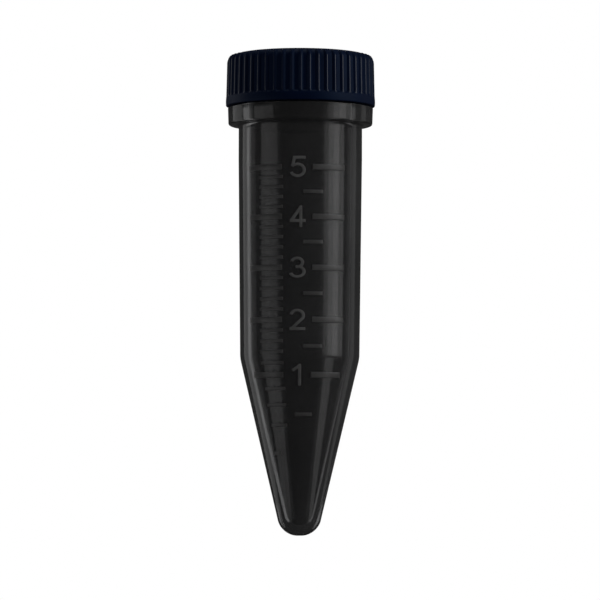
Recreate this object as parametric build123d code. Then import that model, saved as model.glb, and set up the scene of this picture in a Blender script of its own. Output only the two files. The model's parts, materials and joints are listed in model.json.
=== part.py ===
"""A 5 ml screw-cap microcentrifuge tube: a conical tube with a moulded volume scale, a screw cap and its sealing ring.

Millimetres, +Z up, origin at the bottom of the tube's tip. The scale faces -Y, with +X to its right.
The tube hangs in a rack or rotor by the underside of its collar. The cap closes the neck above the collar:
it screws down on the neck's thread and squeezes the sealing ring against the neck's rim.
"""

from build123d import *
import math
import os

# --- Tube: the sizes that can be set by themselves ---
TIP_RADIUS = 3.05  # outside of the round tip
GATE_RADIUS = 0.30  # flat left by the moulding gate, at the very bottom
SHOULDER_Z = 24.0  # where the cone meets the body
SHOULDER_BLEND = 4.5
LAND_Z = 51.0  # the body is tapered up to here and cylindrical above
LAND_RADIUS = 8.38
BODY_TAPER = 0.30  # the body is this much narrower at the shoulder
WALL = 1.40
CONE_WALL = 1.35  # in the cone and the round tip
COLLAR_Z = 55.60  # underside of the collar, which rests on a rack
COLLAR_HEIGHT = 2.40
COLLAR_OVERHANG = 1.40  # at the underside, beyond the body
COLLAR_FLARE = 0.08  # the collar is this much wider at its top
COLLAR_EDGE = 0.30
COLLAR_ROOT = 0.45  # blend between the body and the underside of the collar
NECK_STEP = 0.38  # the neck is this much narrower than the body, between the thread's turns
NECK_LENGTH = 4.90

# --- Thread: one start, right hand ---
THREAD_PITCH = 2.20
THREAD_DEPTH = 0.60
THREAD_BASE = 1.00  # width of a ridge along the axis, at its root
THREAD_CREST = 0.45
THREAD_SINK = 0.15  # how far a ridge is rooted in its wall
NECK_THREAD_START = 0.75  # centre of the ridge's lower end, above the collar
NECK_THREAD_CLEAR = 0.35  # between the ridge's upper end and the rim
NECK_THREAD_ANGLE = 30.0  # degrees round the neck to the ridge's lower end
CAP_THREAD_SHORTER = 0.25  # turns that the cap's ridge is shorter than the neck's
THREAD_GAP = 0.15  # between a crest and the other part's wall
FLANK_GAP = 0.06  # between the flanks that pull the cap down

# --- Cap ---
CAP_GAP = 0.20  # between the collar's top and the cap's lower edge
CAP_TOP_THICKNESS = 1.35
CAP_WALL = 1.13  # at the lower edge, between the ribs
CAP_DRAFT = 0.16  # the cap is this much narrower at its top
CAP_EDGE = 1.20  # rounding of the cap's top edge
RIB_COUNT = 52
RIB_HEIGHT = 0.245
RIB_WIDTH = 0.42
BAND_HEIGHT = 1.10  # plain band round the cap's lower edge, level with the ribs' crests
BAND_PROUD = 0.02
RIB_FADE = 0.10  # below the cap's top, so that the ribs sink into its rounded edge
LIP_HEIGHT = 0.55
LIP_PROUD = 0.27  # how far the widest line of the band stands out of the cap
LIP_DRAFT = 0.04  # the band is this much narrower at its lower edge
PLUG_GAP = 0.12  # between the plug and the tube's bore
PLUG_WALL = 0.90
PLUG_LENGTH = 2.00
GATE_DIMPLE_RADIUS = 1.20
GATE_DIMPLE_DEPTH = 0.15
CAP_MOUTH_CHAMFER = 0.25

# --- Sealing ring ---
RING_SQUEEZED = 1.00  # its height between the rim and the cap
RING_INSET = 0.06  # inside the outer edge of the neck's rim
RING_CORNER = 0.42
RING_GAP = 0.05  # between the ring and the plug

# --- Volume scale, moulded on the tube ---
RELIEF = 0.13
FULL_MARKS_ML = (1, 2, 3, 4, 5)
FINE_STEP_ML = 0.2
FULL_MARK_TALL = 0.80
FINE_MARK_TALL = 0.46
HALF_MARK_TALL = 0.50
# Angles round the tube from the middle of the scale (-Y), in degrees, towards +X.
LEFT_FULL_MARK = (-54.0, -17.0)
LEFT_FINE_MARK = (-40.5, -16.0)
RIGHT_FULL_MARK = (11.3, 45.0)
RIGHT_HALF_MARK = (2.8, 21.5)
TIP_HALF_MARK = (-6.0, 15.0)  # the half-millilitre mark on the cone
TIP_FINE_MARKS = {0.2: (-42.0, -31.0), 0.4: (-39.0, -16.5)}
DIGIT_ANGLE = -2.3
DIGIT_HEIGHT = 2.90
DIGIT_WIDTH = 2.15
DIGIT_STROKE = 0.42

# --- Worked out from the sizes above ---
SHOULDER_RADIUS = LAND_RADIUS - BODY_TAPER
COLLAR_RADIUS = LAND_RADIUS + COLLAR_OVERHANG
NECK_RADIUS = LAND_RADIUS - NECK_STEP
TIP_CENTRE_Z = math.sqrt(TIP_RADIUS**2 - GATE_RADIUS**2)
COLLAR_TOP_Z = COLLAR_Z + COLLAR_HEIGHT
RIM_Z = COLLAR_TOP_Z + NECK_LENGTH
BORE_RADIUS = LAND_RADIUS - WALL
CAP_Z = COLLAR_TOP_Z + CAP_GAP
CEILING_Z = RIM_Z + RING_SQUEEZED
CAP_TOP_Z = CEILING_Z + CAP_TOP_THICKNESS
BAND_Z = CAP_Z + BAND_HEIGHT
CAP_INNER_RADIUS = NECK_RADIUS + THREAD_DEPTH + THREAD_GAP
CAP_BASE_RADIUS = CAP_INNER_RADIUS + CAP_WALL
NECK_THREAD_Z = COLLAR_TOP_Z + NECK_THREAD_START
NECK_THREAD_TURNS = (RIM_Z - NECK_THREAD_CLEAR - THREAD_BASE / 2 - NECK_THREAD_Z) / THREAD_PITCH
CAP_THREAD_TURNS = NECK_THREAD_TURNS - CAP_THREAD_SHORTER
PLUG_RADIUS = BORE_RADIUS - PLUG_GAP


def cone_slope(ball_radius, corner_radius, corner_z):
    """Half-angle of the line from a corner that touches a ball of that radius at the tip's centre."""
    rise = corner_z - TIP_CENTRE_Z
    to_centre = math.atan2(corner_radius, rise)
    return to_centre - math.asin(ball_radius / math.hypot(corner_radius, rise))


CONE_ANGLE = cone_slope(TIP_RADIUS, SHOULDER_RADIUS, SHOULDER_Z)
BODY_SLOPE = (LAND_RADIUS - SHOULDER_RADIUS) / (LAND_Z - SHOULDER_Z)


def outer_radius(z):
    """Outside of the tube below the collar, without the blend at the shoulder."""
    if z < SHOULDER_Z:
        return SHOULDER_RADIUS - (SHOULDER_Z - z) * math.tan(CONE_ANGLE)
    return min(SHOULDER_RADIUS + (z - SHOULDER_Z) * BODY_SLOPE, LAND_RADIUS)


def inner_shoulder():
    """Radius and height of the corner inside the wall, where the offset cone and body meet."""
    cone_offset = CONE_WALL / math.cos(CONE_ANGLE)
    body_offset = WALL / math.cos(math.atan(BODY_SLOPE))
    slope = math.tan(CONE_ANGLE)
    up = (cone_offset - body_offset) / (slope - BODY_SLOPE)
    return SHOULDER_RADIUS + up * BODY_SLOPE - body_offset, SHOULDER_Z + up


def ball_touch(radius):
    """Where the cone's line touches the tip's ball of that radius, as (r, z)."""
    return radius * math.cos(CONE_ANGLE), TIP_CENTRE_Z - radius * math.sin(CONE_ANGLE)


def fill_height(volume_ml):
    """Height of the liquid's surface for a volume in the tube, from the bore's own shape."""
    ball = TIP_RADIUS - CONE_WALL
    r, z = ball_touch(ball)
    depth = z - (TIP_CENTRE_Z - ball)
    left = volume_ml * 1000 - math.pi * depth**2 * (3 * ball - depth) / 3
    shoulder_r, shoulder_z = inner_shoulder()
    for slope, end_r in ((math.tan(CONE_ANGLE), shoulder_r), (BODY_SLOPE, BORE_RADIUS + WALL)):
        whole = math.pi * (end_r**3 - r**3) / (3 * slope)
        if left <= whole:
            surface_r = (r**3 + 3 * slope * left / math.pi) ** (1 / 3)
            return z + (surface_r - r) / slope
        left -= whole
        r, z = shoulder_r, shoulder_z
    raise ValueError("the tube doesn't hold that volume")


def revolved(outline):
    """The solid that a closed outline in the XZ plane makes round Z."""
    return revolve(Plane.XZ * make_face(outline), axis=Axis.Z)


def tube_shell():
    """The tube without its thread and scale."""
    touch = ball_touch(TIP_RADIUS)
    inner_ball = TIP_RADIUS - CONE_WALL
    inner_touch = ball_touch(inner_ball)
    corner = inner_shoulder()
    middle = (math.pi / 4 + CONE_ANGLE / 2) * -1
    points = [
        (touch, 0),
        ((SHOULDER_RADIUS, SHOULDER_Z), SHOULDER_BLEND),
        ((LAND_RADIUS, LAND_Z), 0),
        ((LAND_RADIUS, COLLAR_Z), COLLAR_ROOT),
        ((COLLAR_RADIUS, COLLAR_Z), COLLAR_EDGE),
        ((COLLAR_RADIUS + COLLAR_FLARE, COLLAR_TOP_Z), COLLAR_EDGE / 3),
        ((NECK_RADIUS, COLLAR_TOP_Z), COLLAR_EDGE / 2),
        ((NECK_RADIUS, RIM_Z), COLLAR_EDGE / 2),
        ((BORE_RADIUS, RIM_Z), COLLAR_EDGE / 2),
        ((BORE_RADIUS, LAND_Z), 0),
        (corner, SHOULDER_BLEND - WALL),
        (inner_touch, 0),
    ]
    side = FilletPolyline(*[p for p, _ in points], radius=[r for _, r in points[1:-1]])
    outside_tip = ThreePointArc(
        (GATE_RADIUS, 0),
        (TIP_RADIUS * math.cos(middle), TIP_CENTRE_Z + TIP_RADIUS * math.sin(middle)),
        touch,
    )
    inside_tip = ThreePointArc(
        inner_touch,
        (inner_ball * math.cos(middle), TIP_CENTRE_Z + inner_ball * math.sin(middle)),
        (0, TIP_CENTRE_Z - inner_ball),
    )
    ends = Line((0, TIP_CENTRE_Z - inner_ball), (0, 0)) + Line((0, 0), (GATE_RADIUS, 0))
    return revolved(outside_tip + side + inside_tip + ends)


def thread_ridge(wall_radius, depth, start_z, turns, start_angle):
    """A helical ridge on a wall. It stands outwards for a positive depth and inwards for a negative one."""
    height = THREAD_PITCH * turns
    path = Helix(THREAD_PITCH, height, wall_radius)
    root = -math.copysign(THREAD_SINK, depth)
    section = Polyline(
        (root, -THREAD_BASE / 2),
        (0, -THREAD_BASE / 2),
        (depth, -THREAD_CREST / 2),
        (depth, THREAD_CREST / 2),
        (0, THREAD_BASE / 2),
        (root, THREAD_BASE / 2),
        close=True,
    )
    along = path % 0
    plane = Plane(origin=path @ 0, x_dir=(1, 0, 0), z_dir=(0, along.Y, along.Z))
    ridge = sweep(plane * make_face(section), path=path, is_frenet=True)
    return Pos(0, 0, start_z) * Rot(0, 0, start_angle) * ridge


def scale_mark(volume_ml, tall, angles):
    """One raised mark that runs round the tube between two angles."""
    z = fill_height(volume_ml)
    low, high = z - tall / 2, z + tall / 2
    face = make_face(
        Polyline(
            (outer_radius(low) - WALL / 2, low),
            (outer_radius(low) + RELIEF, low),
            (outer_radius(high) + RELIEF, high),
            (outer_radius(high) - WALL / 2, high),
            close=True,
        )
    )
    first, last = angles
    arc = revolve(Plane.XZ * face, axis=Axis.Z, revolution_arc=last - first)
    return Rot(0, 0, first - 90) * arc


def bow(centre, radii, start, end):
    """Part of an ellipse between two angles in degrees, anticlockwise."""
    return EllipticalCenterArc(centre, *radii, start_angle=start, arc_size=end - start)


def digit_lines(number):
    """The centre lines of a digit's strokes, in a box from (0, 0) to (w, h)."""
    w, h = DIGIT_WIDTH - DIGIT_STROKE, DIGIT_HEIGHT - DIGIT_STROKE
    foot, right = -DIGIT_STROKE / 2, w + DIGIT_STROKE / 2
    if number == 1:
        return [Polyline((0.66 * w, foot), (0.66 * w, h), (0.12 * w, 0.74 * h))]
    if number == 2:
        curve = bow((0.48 * w, 0.71 * h), (0.48 * w, 0.29 * h), -40, 168)
        return [curve, Polyline(curve @ 0, (0.04 * w, 0), (right, 0))]
    if number == 3:
        upper = bow((0.47 * w, 0.76 * h), (0.42 * w, 0.24 * h), -90, 165)
        lower = bow((0.47 * w, 0.27 * h), (0.53 * w, 0.27 * h), -165, 90)
        return [upper, lower, Line((0.34 * w, 0.53 * h), (0.52 * w, 0.53 * h))]
    if number == 4:
        slant = Polyline((0.74 * w, h), (0, 0.27 * h), (right, 0.27 * h))
        return [Line((0.74 * w, foot), (0.74 * w, h - foot)), slant]
    bowl = bow((0.48 * w, 0.32 * h), (0.52 * w, 0.32 * h), -160, 140)
    return [bowl, Polyline((right, h), (0.24 * w, h), bowl @ 1)]


def relief_envelope():
    """A solid that reaches out to the faces of the raised marks, below the collar."""
    outline = Polyline(
        (0, TIP_CENTRE_Z),
        (outer_radius(TIP_CENTRE_Z) + RELIEF, TIP_CENTRE_Z),
        (SHOULDER_RADIUS + RELIEF, SHOULDER_Z),
        (LAND_RADIUS + RELIEF, LAND_Z),
        (LAND_RADIUS + RELIEF, COLLAR_Z),
        (0, COLLAR_Z),
        close=True,
    )
    return revolved(outline)


def digit(number, envelope):
    """A raised digit, level with its full mark and following the tube's wall."""
    corner = Pos((DIGIT_STROKE - DIGIT_WIDTH) / 2, (DIGIT_STROKE - DIGIT_HEIGHT) / 2)
    z = fill_height(number)
    plane = Plane(origin=(0, WALL / 2 - outer_radius(z), z), x_dir=(1, 0, 0), z_dir=(0, -1, 0))
    room = envelope & plane * Box(DIGIT_WIDTH, DIGIT_HEIGHT, 2 * WALL)
    flat = [plane * corner * trace(line.edges(), DIGIT_STROKE) for line in digit_lines(number)]
    strokes = Part() + [extrude(stroke, amount=WALL) & room for stroke in flat]
    return Rot(0, 0, DIGIT_ANGLE) * strokes


def volume_scale():
    """Every mark and digit of the scale, as a list of solids rooted in the tube's wall."""
    envelope = relief_envelope()
    raised = []
    for number in FULL_MARKS_ML:
        raised.append(digit(number, envelope))
        raised.append(scale_mark(number, FULL_MARK_TALL, LEFT_FULL_MARK))
        raised.append(scale_mark(number, FULL_MARK_TALL, RIGHT_FULL_MARK))
        half_angles = TIP_HALF_MARK if number == 1 else RIGHT_HALF_MARK
        raised.append(scale_mark(number - 0.5, HALF_MARK_TALL, half_angles))
    steps = round(1 / FINE_STEP_ML)
    for step in range(1, steps * max(FULL_MARKS_ML)):
        if step % steps:
            volume = round(step * FINE_STEP_ML, 3)
            angles = TIP_FINE_MARKS.get(volume, LEFT_FINE_MARK)
            raised.append(scale_mark(volume, FINE_MARK_TALL, angles))
    return raised


def tube_body():
    thread = thread_ridge(NECK_RADIUS, THREAD_DEPTH, NECK_THREAD_Z, NECK_THREAD_TURNS, NECK_THREAD_ANGLE)
    return tube_shell() + [thread, *volume_scale()]


def cap_outer_radius(z):
    """Outside of the cap between its ribs."""
    return CAP_BASE_RADIUS - CAP_DRAFT * (z - CAP_Z) / (CAP_TOP_Z - CAP_Z)


def cap_core():
    """The cap without its ribs and thread."""
    lip_radius = CAP_BASE_RADIUS + LIP_PROUD
    groove_z = BAND_Z + RIB_HEIGHT
    plug_z = CEILING_Z - PLUG_LENGTH
    plug_inner = PLUG_RADIUS - PLUG_WALL
    dimple_z = CAP_TOP_Z - GATE_DIMPLE_DEPTH
    points = [
        ((0, CEILING_Z), 0),
        ((plug_inner, CEILING_Z), 0.3),
        ((plug_inner, plug_z), 0.2),
        ((PLUG_RADIUS, plug_z), 0.35),
        ((PLUG_RADIUS, CEILING_Z), 0),
        ((CAP_INNER_RADIUS, CEILING_Z), 0.2),
        ((CAP_INNER_RADIUS, CAP_Z + CAP_MOUTH_CHAMFER), 0),
        ((CAP_INNER_RADIUS + CAP_MOUTH_CHAMFER, CAP_Z), 0),
        ((lip_radius - LIP_DRAFT, CAP_Z), 0.12),
        ((lip_radius, CAP_Z + LIP_HEIGHT), 0.3),
        ((cap_outer_radius(BAND_Z) + RIB_HEIGHT + BAND_PROUD, BAND_Z), 0.1),
        ((cap_outer_radius(groove_z), groove_z), 0.1),
        ((cap_outer_radius(CAP_TOP_Z), CAP_TOP_Z), CAP_EDGE),
        ((GATE_DIMPLE_RADIUS, CAP_TOP_Z), 0),
        ((GATE_DIMPLE_RADIUS, dimple_z), 0),
        ((0, dimple_z), 0),
    ]
    line = FilletPolyline(*[p for p, _ in points], radius=[r for _, r in points[1:-1]])
    return revolved(line + Line((0, dimple_z), (0, CEILING_Z)))


def cap_ribs():
    """The grip ribs. They rise from the plain band and sink into the cap's rounded top edge."""
    low, high = BAND_Z - RIB_HEIGHT, CAP_TOP_Z - RIB_FADE
    outline = FilletPolyline(
        (0, low),
        (cap_outer_radius(low) + RIB_HEIGHT, low),
        (cap_outer_radius(high) + RIB_HEIGHT, high),
        (0, high),
        radius=[0, CAP_EDGE],
    )
    reach = revolved(outline + Line((0, high), (0, low)))
    inside, outside = CAP_INNER_RADIUS + THREAD_SINK, CAP_BASE_RADIUS + 2 * RIB_HEIGHT
    bar = Pos((inside + outside) / 2, 0, (low + high) / 2) * Box(outside - inside, RIB_WIDTH, high - low)
    rib = reach & bar
    return [Rot(0, 0, 360 * n / RIB_COUNT) * rib for n in range(RIB_COUNT)]


def screw_cap():
    # The cap's ridge starts half a turn on, and lies just under the neck's so that it pulls the cap down.
    flank_slope = (THREAD_BASE - THREAD_CREST) / (2 * THREAD_DEPTH)
    below = THREAD_BASE - flank_slope * (THREAD_DEPTH + THREAD_GAP) + FLANK_GAP
    start_z = NECK_THREAD_Z + THREAD_PITCH / 2 - below
    start_angle = NECK_THREAD_ANGLE + 180
    ridge = thread_ridge(CAP_INNER_RADIUS, -THREAD_DEPTH, start_z, CAP_THREAD_TURNS, start_angle)
    return cap_core() + [ridge, *cap_ribs()]


def sealing_ring():
    """The ring as it is when the cap is closed, flattened between the rim and the cap."""
    inner, outer = PLUG_RADIUS + RING_GAP, NECK_RADIUS - RING_INSET
    middle = Pos((inner + outer) / 2, RIM_Z + RING_SQUEEZED / 2)
    section = middle * RectangleRounded(outer - inner, RING_SQUEEZED, RING_CORNER)
    return revolve(Plane.XZ * section, axis=Axis.Z)


os.makedirs("parts", exist_ok=True)
for name, make in (("tube_body", tube_body), ("screw_cap", screw_cap), ("sealing_ring", sealing_ring)):
    export_step(make(), f"parts/{name}.step")
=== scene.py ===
"""A smoked 5 ml conical tube with a raised volume scale, and its dark blue ribbed screw cap and sealing ring.

Shapes are worked out in millimetres and stored in metres. +Z is up, and the scale faces -Y.
"""

import json
import math

import bmesh
import bpy
from mathutils import Matrix, Quaternion, Vector


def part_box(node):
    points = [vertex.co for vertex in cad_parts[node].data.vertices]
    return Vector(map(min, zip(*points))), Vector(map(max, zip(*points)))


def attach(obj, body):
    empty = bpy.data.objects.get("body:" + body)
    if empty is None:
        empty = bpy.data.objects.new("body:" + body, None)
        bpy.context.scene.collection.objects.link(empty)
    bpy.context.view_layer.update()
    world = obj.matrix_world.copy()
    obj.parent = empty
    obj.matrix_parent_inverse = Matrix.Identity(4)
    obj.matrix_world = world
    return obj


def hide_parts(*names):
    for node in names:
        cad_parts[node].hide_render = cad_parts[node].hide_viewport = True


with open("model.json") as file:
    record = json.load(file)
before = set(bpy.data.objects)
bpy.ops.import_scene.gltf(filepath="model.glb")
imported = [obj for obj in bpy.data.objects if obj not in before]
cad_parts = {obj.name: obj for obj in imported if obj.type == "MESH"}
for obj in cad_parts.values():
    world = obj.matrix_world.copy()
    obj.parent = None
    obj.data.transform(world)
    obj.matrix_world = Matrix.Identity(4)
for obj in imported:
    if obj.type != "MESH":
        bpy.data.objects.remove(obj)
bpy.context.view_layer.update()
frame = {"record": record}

# ---------------------------------------------------------------- sizes, in millimetres

MM = 0.001


def box_mm(node):
    low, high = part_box(node)
    return low / MM, high / MM


mounts = {mount["name"]: mount for mount in frame["record"]["mounts"]}
_, tube_high = box_mm("tube_body")
cap_low, cap_high = box_mm("screw_cap")
ring_low, ring_high = box_mm("sealing_ring")

RIM_Z = tube_high.z
COLLAR_Z = mounts["rack_rim"]["pos_m"][2] / MM
COLLAR_TOP_RADIUS = tube_high.x
LAND_RADIUS = mounts["rack_land"]["dims"]["r_mm"]
CAP_Z = cap_low.z
CAP_TOP_Z = cap_high.z
LIP_RADIUS = cap_high.x
CEILING_Z = ring_high.z

# Tube
WALL = 1.40
CONE_WALL = 1.35
TIP_RADIUS = 3.05
GATE_RADIUS = 0.30
SHOULDER_Z = 24.0
BODY_TAPER = 0.30
SHOULDER_RADIUS = LAND_RADIUS - BODY_TAPER
SHOULDER_CUT = 0.50  # how far the blend at the shoulder reaches along each side
INNER_SHOULDER_CUT = SHOULDER_CUT * 0.7
INNER_TIP_SHARE = 0.97  # how much of the flat inside the tip its rounding takes up
LAND_Z = 51.0
BORE_RADIUS = LAND_RADIUS - WALL
COLLAR_HEIGHT = 2.40
COLLAR_TOP_Z = COLLAR_Z + COLLAR_HEIGHT
COLLAR_FLARE = 0.08
COLLAR_RADIUS = COLLAR_TOP_RADIUS - COLLAR_FLARE
EDGE = 0.30
COLLAR_ROOT = 0.45
NECK_STEP = 0.38  # how much narrower the neck is than the land
NECK_RADIUS = LAND_RADIUS - NECK_STEP

# Thread
PITCH = 2.20
THREAD_DEPTH = 0.60
THREAD_BASE = 1.00
THREAD_CREST = 0.45
THREAD_SINK = 0.15
THREAD_GAP = 0.15
FLANK_GAP = 0.06
THREAD_START = 0.75  # above the collar
NECK_THREAD_Z = COLLAR_TOP_Z + THREAD_START
NECK_THREAD_TURNS = 1.50
CAP_THREAD_TURNS = 1.25
THREAD_ANGLE = 30.0
THREAD_STEPS_PER_TURN = 96

# Cap
CAP_INNER_RADIUS = NECK_RADIUS + THREAD_DEPTH + THREAD_GAP
LIP_PROUD = 0.27
CAP_BASE_RADIUS = LIP_RADIUS - LIP_PROUD
CAP_DRAFT = 0.16
CAP_EDGE = 1.20
LIP_HEIGHT = 0.55
LIP_DRAFT = 0.04
BAND_Z = CAP_Z + 1.10  # the plain band round the lower edge ends here
BAND_PROUD = 0.02
MOUTH_CHAMFER = 0.25
PLUG_GAP = 0.12
PLUG_RADIUS = BORE_RADIUS - PLUG_GAP
PLUG_WALL = 0.90
PLUG_LENGTH = 2.00
RIB_COUNT = 52
RIB_HEIGHT = 0.24
RIB_WIDTH = 0.58
RIB_END = 0.16
RIB_STEPS = 10  # steps round the cap for each rib and the groove beside it
RIB_FULLNESS = 0.75  # a smaller power gives a rounder, fuller rib
GATE_DIMPLE_RADIUS = 1.20
GATE_DIMPLE_DEPTH = 0.15

# Sealing ring
RING_OUTER_RADIUS = ring_high.x
RING_GAP = 0.05  # between the ring and the plug
RING_INNER_RADIUS = PLUG_RADIUS + RING_GAP
RING_CORNER = 0.42

# Volume scale. Angles are degrees round from -Y, towards +X.
RELIEF = 0.13
MARK_SINK = 0.12
MARK_EDGE = 0.06
FULL_MARKS_ML = (1, 2, 3, 4, 5)
STEPS_PER_ML = 5
FULL_TALL, FINE_TALL, HALF_TALL = 0.78, 0.46, 0.50
LEFT_FULL, RIGHT_FULL = (-54.0, -17.0), (11.3, 45.0)
LEFT_FINE, RIGHT_HALF, TIP_HALF = (-40.5, -16.0), (2.8, 21.5), (-6.0, 15.0)
TIP_FINE = {1: (-42.0, -31.0), 2: (-39.0, -16.5)}
DIGIT_ANGLE = -2.3
DIGIT_HEIGHT, DIGIT_WIDTH, DIGIT_STROKE = 2.88, 2.13, 0.40
STROKE_CUTS = 4  # the fewest cuts that let a straight stroke follow the wall
BOW_CUTS = 18
MARK_RUN = 0.5  # a mark is cut about this often along its length

# Fineness of the meshes
ROUND_STEPS = 224
SHORTEST_RUN = 1.0  # longer straight stretches of an outline are divided to about this length
CAP_RUN = 0.7
FEWEST_SEGMENTS = 5  # of a rounded corner
SEGMENTS_PER_MM = 7
MERGE_DISTANCE = 0.0005
SHARP_EDGE = math.radians(38)
ALONG = 0.99  # cosine above which an edge runs along its stroke
FACES_UP = 0.5  # upward part of a normal above which a face belongs to the cap's top edge


def cone_half_angle():
    """Angle of the line from the shoulder's corner that touches the round tip."""
    centre_z = math.sqrt(TIP_RADIUS**2 - GATE_RADIUS**2)
    rise = SHOULDER_Z - centre_z
    return math.atan2(SHOULDER_RADIUS, rise) - math.asin(TIP_RADIUS / math.hypot(SHOULDER_RADIUS, rise))


CONE_SLOPE = math.tan(cone_half_angle())
BODY_SLOPE = BODY_TAPER / (LAND_Z - SHOULDER_Z)
TIP_CENTRE_Z = math.sqrt(TIP_RADIUS**2 - GATE_RADIUS**2)
INNER_TIP_Z = TIP_CENTRE_Z - (TIP_RADIUS - CONE_WALL)


def outer_radius(z):
    """Outside of the tube below the collar, before its blends."""
    if z < SHOULDER_Z:
        return SHOULDER_RADIUS - (SHOULDER_Z - z) * CONE_SLOPE
    return min(SHOULDER_RADIUS + (z - SHOULDER_Z) * BODY_SLOPE, LAND_RADIUS)


LEVEL_CONE_WALL = CONE_WALL * math.hypot(1, CONE_SLOPE)  # the wall measured level, through the cone
INNER_SHOULDER_Z = SHOULDER_Z + (LEVEL_CONE_WALL - WALL) / (CONE_SLOPE - BODY_SLOPE)
INNER_SHOULDER_RADIUS = outer_radius(INNER_SHOULDER_Z) - WALL


def fill_height(volume_ml):
    """Height of the surface of a volume in the tube: a ball's cap, then the cone, then the body."""
    ball = TIP_RADIUS - CONE_WALL
    r = ball / math.hypot(1, CONE_SLOPE)
    z = TIP_CENTRE_Z - CONE_SLOPE * r
    depth = z - INNER_TIP_Z
    left = volume_ml * 1000 - math.pi * depth**2 * (3 * ball - depth) / 3
    cone = math.pi * (INNER_SHOULDER_RADIUS**3 - r**3) / (3 * CONE_SLOPE)
    slope = CONE_SLOPE
    if left > cone:
        left -= cone
        r, z, slope = INNER_SHOULDER_RADIUS, INNER_SHOULDER_Z, BODY_SLOPE
    return z + ((r**3 + 3 * slope * left / math.pi) ** (1 / 3) - r) / slope


# ---------------------------------------------------------------- shader maths


class Value:
    """A number that changes over a surface. Arithmetic on it adds Math nodes to its finish."""

    def __init__(self, finish, socket):
        self.finish, self.socket = finish, socket

    def _math(self, operation, *terms):
        inputs = {place: term for place, term in enumerate(terms)}
        return self.finish.add("ShaderNodeMath", {"operation": operation}, inputs)

    def __add__(self, other):
        return self._math("ADD", self, other)

    def __sub__(self, other):
        return self._math("SUBTRACT", self, other)

    def __rsub__(self, other):
        return self._math("SUBTRACT", other, self)

    def __mul__(self, other):
        return self._math("MULTIPLY", self, other)

    __radd__, __rmul__ = __add__, __mul__

    def ramp(self, low, high):
        """0 below low, 1 above high, smooth between."""
        settings = {"interpolation_type": "SMOOTHSTEP"}
        return self.finish.add("ShaderNodeMapRange", settings, {"Value": self, "From Min": low, "From Max": high})


class Finish:
    """A material made from nodes, with a pattern fixed to the piece by its object coordinates."""

    def __init__(self, name):
        self.material = bpy.data.materials.new(name)
        self.material.use_nodes = True
        self.nodes = self.material.node_tree.nodes
        self.links = self.material.node_tree.links
        self.shader = self.nodes["Principled BSDF"]
        self.place = self.add("ShaderNodeTexCoord", output="Object")

    def add(self, kind, settings=None, inputs=None, output=0):
        node = self.nodes.new(kind)
        for name, value in (settings or {}).items():
            setattr(node, name, value)
        for name, value in (inputs or {}).items():
            self.feed(node.inputs[name], value)
        return Value(self, node.outputs[output])

    def feed(self, socket, value):
        if isinstance(value, Value):
            self.links.new(value.socket, socket)
        else:
            socket.default_value = value

    def set(self, **values):
        """Set the shader's sockets: Base_Color=..., Roughness=..."""
        for name, value in values.items():
            self.feed(self.shader.inputs[name.replace("_", " ")], value)

    def noise(self, per_mm, detail=2.0, stretch=(1, 1, 1)):
        """Cloudy noise with that many features in a millimetre, from 0 to 1."""
        place = self.add("ShaderNodeMapping", inputs={"Vector": self.place, "Scale": stretch})
        inputs = {"Vector": place, "Scale": per_mm / MM, "Detail": detail}
        return self.add("ShaderNodeTexNoise", inputs=inputs, output="Fac")

    def mix(self, mask, low, high):
        """One colour where the mask is 0 and the other where it is 1."""
        node = self.nodes.new("ShaderNodeMix")
        node.data_type = "RGBA"
        for socket, value in ((node.inputs[0], mask), (node.inputs[6], low), (node.inputs[7], high)):
            self.feed(socket, value)
        return Value(self, node.outputs[2])

    def split_place(self):
        """The object coordinates as three values, in metres."""
        node = self.nodes.new("ShaderNodeSeparateXYZ")
        self.feed(node.inputs[0], self.place)
        return [Value(self, output) for output in node.outputs]

    def bump(self, height, depth_mm):
        return self.add("ShaderNodeBump", inputs={"Height": height, "Distance": depth_mm * MM})


SMOKE_DEEP = (0.30, 0.30, 0.305, 1)
SMOKE_LIGHT = (0.38, 0.38, 0.385, 1)


def smoked_plastic():
    """Polished smoky polypropylene that darkens what is seen through it, with flow lines and handling marks."""
    finish = Finish("smoked_plastic")
    cloud = finish.noise(0.12, detail=3)
    flow = finish.noise(0.9, detail=3, stretch=(1, 1, 0.04))
    smudge = finish.noise(0.30, detail=5).ramp(0.48, 0.72)
    grain = finish.noise(6.0, detail=2)
    colour = finish.mix(cloud.ramp(0.30, 0.70), SMOKE_DEEP, SMOKE_LIGHT)
    finish.set(
        Base_Color=colour,
        Roughness=0.06 + 0.05 * smudge + 0.02 * flow,
        Normal=finish.bump(0.6 * flow + 0.4 * grain, 0.002),
        IOR=1.49,
        Transmission_Weight=0.86,
    )
    return finish.material


def frosted_relief(name, light):
    """Matt plastic from an etched part of the mould, for the scale. The light is the middle grey of its colour."""
    finish = Finish(name)
    grain = finish.noise(9.0, detail=4)
    wear = finish.noise(0.5, detail=3).ramp(0.35, 0.75)
    dull, bright = light * 0.85, light * 1.15
    colour = finish.mix(wear, (dull, dull, dull, 1), (bright, bright, bright, 1))
    finish.set(
        Base_Color=colour,
        Roughness=0.20 + 0.10 * grain - 0.04 * wear,
        IOR=1.49,
        Normal=finish.bump(grain, 0.012),
    )
    return finish.material


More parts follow.
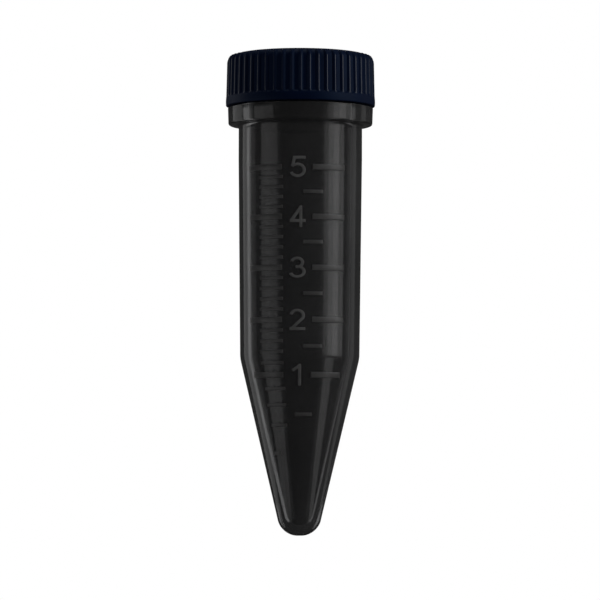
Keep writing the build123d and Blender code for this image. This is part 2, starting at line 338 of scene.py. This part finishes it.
def navy_plastic():
    """Dark blue plastic with a fine dull grain, polished on the crests of the ribs where fingers grip them."""
    finish = Finish("navy_plastic")
    grain = finish.noise(7.0, detail=3)
    cloud = finish.noise(0.25, detail=3)
    x, y, height = finish.split_place()
    radius = finish.add("ShaderNodeMath", {"operation": "POWER"}, {0: x * x + y * y, 1: 0.5})
    proud = radius + (height - CAP_Z * MM) * (CAP_DRAFT / (CAP_TOP_Z - CAP_Z)) - CAP_BASE_RADIUS * MM
    crest = proud.ramp(0.70 * RIB_HEIGHT * MM, 0.95 * RIB_HEIGHT * MM)
    crest = crest * height.ramp(BAND_Z * MM, (BAND_Z + RIB_HEIGHT) * MM)
    colour = finish.mix(cloud.ramp(0.3, 0.7), (0.0005, 0.0075, 0.0430, 1), (0.0008, 0.0100, 0.0520, 1))
    finish.set(
        Base_Color=colour,
        Roughness=0.48 + 0.08 * grain - 0.20 * crest,
        Normal=finish.bump(grain, 0.004),
        Coat_Weight=crest * (0.6 + 0.3 * grain),
        Coat_Roughness=0.10,
        Coat_IOR=1.7,
        Specular_IOR_Level=0.28,
        Specular_Tint=(0.5, 0.7, 1.0, 1),
    )
    return finish.material


def seal_rubber():
    """Dull black rubber with a fine speckle."""
    finish = Finish("seal_rubber")
    grain = finish.noise(12.0, detail=4)
    colour = finish.mix(grain.ramp(0.35, 0.7), (0.012, 0.012, 0.012, 1), (0.028, 0.027, 0.026, 1))
    finish.set(Base_Color=colour, Roughness=0.72 + 0.15 * grain, IOR=1.5, Normal=finish.bump(grain, 0.01))
    return finish.material


# ---------------------------------------------------------------- shapes


def lathe(outline, steps=ROUND_STEPS, closed=False, run=SHORTEST_RUN):
    """Turn corners (radius, height, rounding) round Z. Rounding is how far it reaches along each side."""
    bm = bmesh.new()
    corners = [bm.verts.new((r, 0, z)) for r, z, _ in outline]
    pairs = list(zip(corners, corners[1:]))
    if closed:
        pairs.append((corners[-1], corners[0]))
    for pair in pairs:
        bm.edges.new(pair)
    for corner, (_, _, rounding) in zip(corners, outline):
        if rounding:
            bmesh.ops.bevel(
                bm,
                geom=[corner],
                offset=rounding,
                offset_type="OFFSET",
                segments=FEWEST_SEGMENTS + round(SEGMENTS_PER_MM * rounding),
                profile=0.5,
                affect="VERTICES",
                material=-1,
            )
    for edge in bm.edges[:]:
        cuts = round(edge.calc_length() / run) - 1
        if cuts > 0:
            bmesh.ops.subdivide_edges(bm, edges=[edge], cuts=cuts)
    bmesh.ops.spin(
        bm,
        geom=bm.verts[:] + bm.edges[:],
        cent=(0, 0, 0),
        axis=(0, 0, 1),
        angle=2 * math.pi,
        steps=steps,
        use_merge=True,
    )
    bmesh.ops.remove_doubles(bm, verts=bm.verts, dist=MERGE_DISTANCE)
    bmesh.ops.recalc_face_normals(bm, faces=bm.faces)
    return bm


def add_thread(bm, wall_radius, depth, start_z, turns, start_angle):
    """Wind a ridge onto a wall. It stands outwards for a positive depth and inwards for a negative one."""
    ridge = bmesh.new()
    root = wall_radius - math.copysign(THREAD_SINK, depth)
    crest = wall_radius + depth
    section = [(root, -THREAD_BASE / 2), (crest, -THREAD_CREST / 2), (crest, THREAD_CREST / 2), (root, THREAD_BASE / 2)]
    corners = [ridge.verts.new((r, 0, start_z + z)) for r, z in section]
    ridge.faces.new(corners)
    steps = round(THREAD_STEPS_PER_TURN * turns)
    bmesh.ops.rotate(
        ridge, verts=ridge.verts, cent=(0, 0, 0), matrix=Matrix.Rotation(math.radians(start_angle), 3, "Z")
    )
    bmesh.ops.spin(
        ridge,
        geom=ridge.verts[:] + ridge.edges[:] + ridge.faces[:],
        cent=(0, 0, 0),
        axis=(0, 0, 1),
        dvec=(0, 0, PITCH * turns / steps),
        angle=2 * math.pi * turns,
        steps=steps,
    )
    join(bm, ridge)


def join(bm, other):
    """Close and orient a second mesh, and put it into the first."""
    bmesh.ops.remove_doubles(other, verts=other.verts, dist=MERGE_DISTANCE)
    bmesh.ops.holes_fill(other, edges=[edge for edge in other.edges if edge.is_boundary], sides=0)
    bmesh.ops.recalc_face_normals(other, faces=other.faces)
    mesh = bpy.data.meshes.new("joined")
    other.to_mesh(mesh)
    other.free()
    bm.from_mesh(mesh)
    bpy.data.meshes.remove(mesh)


def make_piece(name, bm, finish, body, node=None):
    """Store a mesh as a piece that rides on a body, in metres, with its hard edges kept crisp."""
    bmesh.ops.scale(bm, vec=(MM, MM, MM), verts=bm.verts)
    for edge in bm.edges:
        edge.smooth = edge.calc_face_angle(math.pi) < SHARP_EDGE
    for face in bm.faces:
        face.smooth = True
    mesh = bpy.data.meshes.new(name)
    bm.to_mesh(mesh)
    bm.free()
    mesh.materials.append(finish)
    piece = bpy.data.objects.new(name, mesh)
    bpy.context.scene.collection.objects.link(piece)
    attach(piece, body)
    if node:
        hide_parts(node)
    return piece


def tube_wall():
    tip_corner = outer_radius(0)
    inner_corner = outer_radius(INNER_TIP_Z) - LEVEL_CONE_WALL
    bm = lathe(
        [
            (0, 0, 0),
            (tip_corner, 0, tip_corner - GATE_RADIUS),
            (SHOULDER_RADIUS, SHOULDER_Z, SHOULDER_CUT),
            (LAND_RADIUS, LAND_Z, 0),
            (LAND_RADIUS, COLLAR_Z, COLLAR_ROOT),
            (COLLAR_RADIUS, COLLAR_Z, EDGE),
            (COLLAR_TOP_RADIUS, COLLAR_TOP_Z, EDGE / 2),
            (NECK_RADIUS, COLLAR_TOP_Z, EDGE / 2),
            (NECK_RADIUS, RIM_Z, EDGE / 2),
            (BORE_RADIUS, RIM_Z, EDGE / 2),
            (BORE_RADIUS, LAND_Z, 0),
            (INNER_SHOULDER_RADIUS, INNER_SHOULDER_Z, INNER_SHOULDER_CUT),
            (inner_corner, INNER_TIP_Z, inner_corner * INNER_TIP_SHARE),
            (0, INNER_TIP_Z, 0),
        ]
    )
    add_thread(bm, NECK_RADIUS, THREAD_DEPTH, NECK_THREAD_Z, NECK_THREAD_TURNS, THREAD_ANGLE)
    return bm


# The scale is drawn flat: X along the wall, Z up and Y the height above the wall. It is then wrapped on.


def add_bar(bm, start, end, width, cuts):
    """A straight raised stroke between two points (x, z), square at its ends."""
    run = Vector((end[0] - start[0], 0, end[1] - start[1]))
    middle = Vector(((end[0] + start[0]) / 2, (RELIEF - MARK_SINK) / 2, (end[1] + start[1]) / 2))
    turn = Matrix.Rotation(-math.atan2(run.z, run.x), 4, "Y")
    stretch = Matrix.Diagonal((run.length, RELIEF + MARK_SINK, width, 1))
    bar = bmesh.new()
    bmesh.ops.create_cube(bar, size=1, matrix=Matrix.Translation(middle) @ turn @ stretch)
    soften(bar)
    along = run.normalized()
    lengthwise = [
        edge
        for edge in bar.edges
        if abs((edge.verts[0].co - edge.verts[1].co).normalized().dot(along)) > ALONG
        and edge.calc_length() > run.length / 2
    ]
    bmesh.ops.subdivide_edges(bar, edges=lengthwise, cuts=cuts)
    join(bm, bar)


def add_bow(bm, centre, radii, start, end):
    """A curved raised stroke: part of an ellipse between two angles, anticlockwise."""
    bow = bmesh.new()
    mean = sum(radii) / 2
    middle = Vector((mean, (RELIEF - MARK_SINK) / 2, 0))
    stretch = Matrix.Diagonal((DIGIT_STROKE, RELIEF + MARK_SINK, 1, 1))
    bmesh.ops.create_grid(bow, x_segments=1, y_segments=1, size=0.5, matrix=Matrix.Translation(middle) @ stretch)
    bmesh.ops.rotate(
        bow, verts=bow.verts, cent=(0, 0, 0), matrix=Matrix.Rotation(math.radians(-start), 3, "Y")
    )
    bmesh.ops.spin(
        bow,
        geom=bow.verts[:] + bow.edges[:] + bow.faces[:],
        cent=(0, 0, 0),
        axis=(0, -1, 0),
        angle=math.radians(end - start),
        steps=BOW_CUTS,
    )
    bmesh.ops.scale(bow, vec=(radii[0] / mean, 1, radii[1] / mean), verts=bow.verts)
    bmesh.ops.translate(bow, vec=(centre[0], 0, centre[1]), verts=bow.verts)
    bmesh.ops.remove_doubles(bow, verts=bow.verts, dist=MERGE_DISTANCE)
    bmesh.ops.holes_fill(bow, edges=[edge for edge in bow.edges if edge.is_boundary], sides=0)
    bmesh.ops.recalc_face_normals(bow, faces=bow.faces)
    soften(bow)
    join(bm, bow)


def soften(stroke):
    """Round the upper edges of a flat stroke."""
    upper = [
        edge
        for edge in stroke.edges
        if all(vert.co.y > RELIEF / 2 for vert in edge.verts) and edge.calc_face_angle(0) > SHARP_EDGE
    ]
    bmesh.ops.bevel(
        stroke,
        geom=upper,
        offset=MARK_EDGE,
        offset_type="OFFSET",
        segments=2,
        profile=0.5,
        affect="EDGES",
        material=-1,
    )


def add_digit(bm, number):
    """A numeral level with its full mark, inside a box of the digit's width and height."""
    w, h = DIGIT_WIDTH - DIGIT_STROKE, DIGIT_HEIGHT - DIGIT_STROKE
    z = fill_height(number)
    half = DIGIT_STROKE / 2
    shift_x = math.radians(DIGIT_ANGLE) * outer_radius(z) - w / 2
    shift_z = z - h / 2

    def bar(x0, z0, x1, z1):
        start = (shift_x + x0, shift_z + z0)
        add_bar(bm, start, (shift_x + x1, shift_z + z1), DIGIT_STROKE, cuts=STROKE_CUTS)

    def bow(x, z, radius_x, radius_z, start, end):
        add_bow(bm, (shift_x + x, shift_z + z), (radius_x, radius_z), start, end)

    if number == 1:
        bar(0.66 * w, -half, 0.66 * w, h + half)
        bar(0.10 * w, 0.73 * h, 0.66 * w, 0.98 * h)
    elif number == 2:
        bow(0.48 * w, 0.71 * h, 0.48 * w, 0.29 * h, -42, 168)
        bar(0.86 * w, 0.54 * h, 0.08 * w, 0.02 * h)
        bar(-half, 0, w + half, 0)
    elif number == 3:
        bow(0.47 * w, 0.76 * h, 0.42 * w, 0.24 * h, -90, 165)
        bow(0.47 * w, 0.27 * h, 0.53 * w, 0.27 * h, -165, 90)
        bar(0.34 * w, 0.53 * h, 0.52 * w, 0.53 * h)
    elif number == 4:
        bar(0.74 * w, -half, 0.74 * w, h + half)
        bar(-half, 0.27 * h, w + half, 0.27 * h)
        bar(0.02 * w, 0.29 * h, 0.70 * w, 0.97 * h)
    else:
        bow(0.48 * w, 0.32 * h, 0.52 * w, 0.32 * h, -160, 140)
        bar(0.24 * w, h, 0.08 * w, 0.50 * h)
        bar(0.24 * w - half, h, w + half, h)


def add_mark(bm, volume_ml, tall, angles):
    """A level mark at the height of a volume, between two angles."""
    z = fill_height(volume_ml)
    first, last = (math.radians(angle) * outer_radius(z) for angle in angles)
    add_bar(bm, (first, z), (last, z), tall, cuts=max(STROKE_CUTS, round((last - first) / MARK_RUN)))


def wrap_on_tube(bm):
    """Bend the flat scale round the tube's wall."""
    for vert in bm.verts:
        wall = outer_radius(vert.co.z)
        angle, r = vert.co.x / wall, wall + vert.co.y
        vert.co = (r * math.sin(angle), -r * math.cos(angle), vert.co.z)
    bmesh.ops.recalc_face_normals(bm, faces=bm.faces)


def volume_numerals():
    bm = bmesh.new()
    for number in FULL_MARKS_ML:
        add_digit(bm, number)
    wrap_on_tube(bm)
    return bm


def volume_marks():
    bm = bmesh.new()
    for number in FULL_MARKS_ML:
        add_mark(bm, number, FULL_TALL, LEFT_FULL)
        add_mark(bm, number, FULL_TALL, RIGHT_FULL)
        add_mark(bm, number - 0.5, HALF_TALL, TIP_HALF if number == 1 else RIGHT_HALF)
    for step in range(1, STEPS_PER_ML * max(FULL_MARKS_ML)):
        if step % STEPS_PER_ML:
            add_mark(bm, step / STEPS_PER_ML, FINE_TALL, TIP_FINE.get(step, LEFT_FINE))
    wrap_on_tube(bm)
    return bm


def cap_radius(z):
    """Outside of the cap between its ribs."""
    return CAP_BASE_RADIUS - CAP_DRAFT * (z - CAP_Z) / (CAP_TOP_Z - CAP_Z)


def raise_ribs(bm):
    """Push the outside of the cap out into ribs with round crests, which fade at both ends."""
    bm.normal_update()
    middle_radius = (CAP_INNER_RADIUS + CAP_BASE_RADIUS) / 2
    pitch = 2 * math.pi / RIB_COUNT
    moves = []
    for vert in bm.verts:
        radius = math.hypot(vert.co.x, vert.co.y)
        low_end = (vert.co.z - BAND_Z) / RIB_HEIGHT
        high_end = (CAP_TOP_Z - RIB_END - vert.co.z) / RIB_HEIGHT
        inside = radius < CAP_BASE_RADIUS - CAP_EDGE or (radius < middle_radius and vert.normal.z < FACES_UP)
        if inside or low_end <= 0 or high_end <= 0:
            continue
        angle = math.atan2(vert.co.y, vert.co.x)
        across = abs((angle + pitch / 2) % pitch - pitch / 2) * radius / (RIB_WIDTH / 2)
        crest = max(0.0, 1 - across**2) ** RIB_FULLNESS
        fade = math.sin(min(1.0, low_end) * math.pi / 2) * math.sin(min(1.0, high_end) * math.pi / 2)
        moves.append((vert, vert.normal * RIB_HEIGHT * crest * fade))
    for vert, move in moves:
        vert.co += move


def cap_shell():
    groove_z = BAND_Z + RIB_HEIGHT
    plug_z = CEILING_Z - PLUG_LENGTH
    plug_inner = PLUG_RADIUS - PLUG_WALL
    dimple_z = CAP_TOP_Z - GATE_DIMPLE_DEPTH
    bm = lathe(
        [
            (0, CEILING_Z, 0),
            (plug_inner, CEILING_Z, 0.3),
            (plug_inner, plug_z, 0.2),
            (PLUG_RADIUS, plug_z, 0.35),
            (PLUG_RADIUS, CEILING_Z, 0),
            (CAP_INNER_RADIUS, CEILING_Z, 0.2),
            (CAP_INNER_RADIUS, CAP_Z + MOUTH_CHAMFER, 0),
            (CAP_INNER_RADIUS + MOUTH_CHAMFER, CAP_Z, 0),
            (LIP_RADIUS - LIP_DRAFT, CAP_Z, 0.12),
            (LIP_RADIUS, CAP_Z + LIP_HEIGHT, 0.2),
            (cap_radius(BAND_Z) + RIB_HEIGHT + BAND_PROUD, BAND_Z, 0.08),
            (cap_radius(groove_z), groove_z, 0.10),
            (cap_radius(CAP_TOP_Z), CAP_TOP_Z, CAP_EDGE),
            (GATE_DIMPLE_RADIUS, CAP_TOP_Z, 0.05),
            (GATE_DIMPLE_RADIUS, dimple_z, 0.05),
            (0, dimple_z, 0),
        ],
        steps=RIB_COUNT * RIB_STEPS,
        run=CAP_RUN,
    )
    raise_ribs(bm)
    flank_slope = (THREAD_BASE - THREAD_CREST) / (2 * THREAD_DEPTH)
    below = THREAD_BASE - flank_slope * (THREAD_DEPTH + THREAD_GAP) + FLANK_GAP
    start_z = NECK_THREAD_Z + PITCH / 2 - below
    add_thread(bm, CAP_INNER_RADIUS, -THREAD_DEPTH, start_z, CAP_THREAD_TURNS, THREAD_ANGLE + 180)
    return bm


def seal_shape():
    corners = [
        (RING_INNER_RADIUS, ring_low.z, RING_CORNER),
        (RING_OUTER_RADIUS, ring_low.z, RING_CORNER),
        (RING_OUTER_RADIUS, ring_high.z, RING_CORNER),
        (RING_INNER_RADIUS, ring_high.z, RING_CORNER),
    ]
    return lathe(corners, closed=True)


make_piece("tube_wall", tube_wall(), smoked_plastic(), "tube", node="tube_body")
make_piece("volume_marks", volume_marks(), frosted_relief("frosted_marks", 0.17), "tube")
# The numerals are the same frosted relief as the marks, but painted a lighter grey as a painted highlight for the light
# their raised edges catch.
make_piece("volume_numerals", volume_numerals(), frosted_relief("frosted_numerals", 0.29), "tube")
make_piece("cap_shell", cap_shell(), navy_plastic(), "cap", node="screw_cap")
make_piece("seal", seal_shape(), seal_rubber(), "seal", node="sealing_ring")

# ---------------------------------------------------------------- floor, light and camera

FLOOR_DROP = 0.045
FLOOR_RADIUS = 0.60
FLOOR_GLOW = 0.62
WORLD_GLOW = 0.03


def make_floor():
    """A pale, faintly lit table top below the tube, which neither lights the tube nor shows in its gloss."""
    bm = bmesh.new()
    bmesh.ops.create_circle(bm, cap_ends=True, segments=96, radius=FLOOR_RADIUS)
    bmesh.ops.translate(bm, vec=(0, 0, -FLOOR_DROP), verts=bm.verts)
    mesh = bpy.data.meshes.new("floor")
    bm.to_mesh(mesh)
    bm.free()
    finish = Finish("pale_floor")
    cloud = finish.noise(0.004, detail=2)
    finish.set(Base_Color=finish.mix(cloud, (0.78, 0.78, 0.78, 1), (0.84, 0.84, 0.84, 1)), Roughness=0.8)
    finish.set(Emission_Color=(1, 1, 1, 1), Emission_Strength=FLOOR_GLOW)
    finish.material.cycles.emission_sampling = "NONE"
    mesh.materials.append(finish.material)
    floor = bpy.data.objects.new("floor", mesh)
    floor.visible_diffuse = False
    floor.visible_glossy = False
    floor.visible_transmission = False
    floor.visible_shadow = False
    bpy.context.scene.collection.objects.link(floor)


def make_world():
    """White to look at, and almost dark to the object, so that only the soft lights show in its gloss."""
    world = bpy.data.worlds.new("studio")
    world.use_nodes = True
    nodes, links = world.node_tree.nodes, world.node_tree.links
    seen = nodes.new("ShaderNodeLightPath")
    level = nodes.new("ShaderNodeMapRange")
    links.new(seen.outputs["Is Camera Ray"], level.inputs["Value"])
    level.inputs["To Min"].default_value = WORLD_GLOW
    links.new(level.outputs["Result"], nodes["Background"].inputs["Strength"])
    nodes["Background"].inputs["Color"].default_value = (1, 1, 1, 1)
    bpy.context.scene.world = world


LIGHT_DISTANCE = 0.60
# Name, azimuths in degrees from -Y towards +X, lowest and highest point in metres, and radiance
SOFTBOXES = (
    ("main_right_front", (45, 54), (-0.06, 0.60), 0.35),
    ("main_right_inner", (54, 65), (-0.06, 0.60), 0.85),
    ("main_right_middle", (65, 77), (-0.06, 0.60), 1.25),
    ("main_right_outer", (77, 89), (-0.06, 0.60), 0.70),
    ("low_right", (52, 72), (-0.42, -0.12), 0.55),
    ("fill_left_outer", (-78, -60), (-0.40, 0.125), 0.44),
    ("fill_left_inner", (-60, -43.5), (-0.40, 0.125), 0.32),
    ("rim_left", (-136, -106), (-0.45, 0.60), 0.40),
    ("rim_right", (113, 128), (-0.45, 0.60), 0.22),
)
TOP_LIGHT_SIZE = 0.40
TOP_LIGHT_HEIGHT = 0.60
TOP_LIGHT_RADIANCE = 0.8
CAMERA_LENS = 230.4
CAMERA_PLACE = (0, -0.520, 0.0057)
CAMERA_AIM = (0.00001, 0, 0.0319)
CAMERA_ROLL = math.radians(0.155)


def make_softbox(name, azimuths, heights, radiance):
    """An upright light that fills the angles between two azimuths, in degrees from -Y towards +X."""
    middle = math.radians(sum(azimuths) / 2)
    half_span = math.radians(abs(azimuths[1] - azimuths[0]) / 2)
    light = bpy.data.lights.new(name, "AREA")
    light.shape = "RECTANGLE"
    light.size = 2 * LIGHT_DISTANCE * math.tan(half_span)
    light.size_y = heights[1] - heights[0]
    light.energy = math.pi * light.size * light.size_y * radiance
    lamp = bpy.data.objects.new(name, light)
    place = Vector((math.sin(middle), -math.cos(middle), 0)) * LIGHT_DISTANCE
    lamp.location = place + Vector((0, 0, sum(heights) / 2))
    lamp.rotation_mode = "QUATERNION"
    lamp.rotation_quaternion = (-place).to_track_quat("-Z", "Y")
    bpy.context.scene.collection.objects.link(lamp)


def make_top_light():
    """A square soft light overhead, for the cap's top and the collar."""
    light = bpy.data.lights.new("top", "AREA")
    light.size = TOP_LIGHT_SIZE
    light.energy = math.pi * TOP_LIGHT_SIZE**2 * TOP_LIGHT_RADIANCE
    lamp = bpy.data.objects.new("top", light)
    lamp.location = (0, 0, TOP_LIGHT_HEIGHT)
    bpy.context.scene.collection.objects.link(lamp)


def make_camera():
    """A long lens in front of the tube, a little above its tip and looking slightly up."""
    camera = bpy.data.cameras.new("camera")
    camera.sensor_width = 36.0
    camera.lens = CAMERA_LENS
    viewer = bpy.data.objects.new("camera", camera)
    viewer.location = CAMERA_PLACE
    aim = Vector(CAMERA_AIM) - viewer.location
    viewer.rotation_mode = "QUATERNION"
    roll = Quaternion((0, 0, 1), CAMERA_ROLL)
    viewer.rotation_quaternion = aim.to_track_quat("-Z", "Y") @ roll
    bpy.context.scene.collection.objects.link(viewer)
    bpy.context.scene.camera = viewer


make_floor()
make_world()
for softbox in SOFTBOXES:
    make_softbox(*softbox)
make_top_light()
make_camera()
bpy.context.scene.view_settings.view_transform = "Standard"
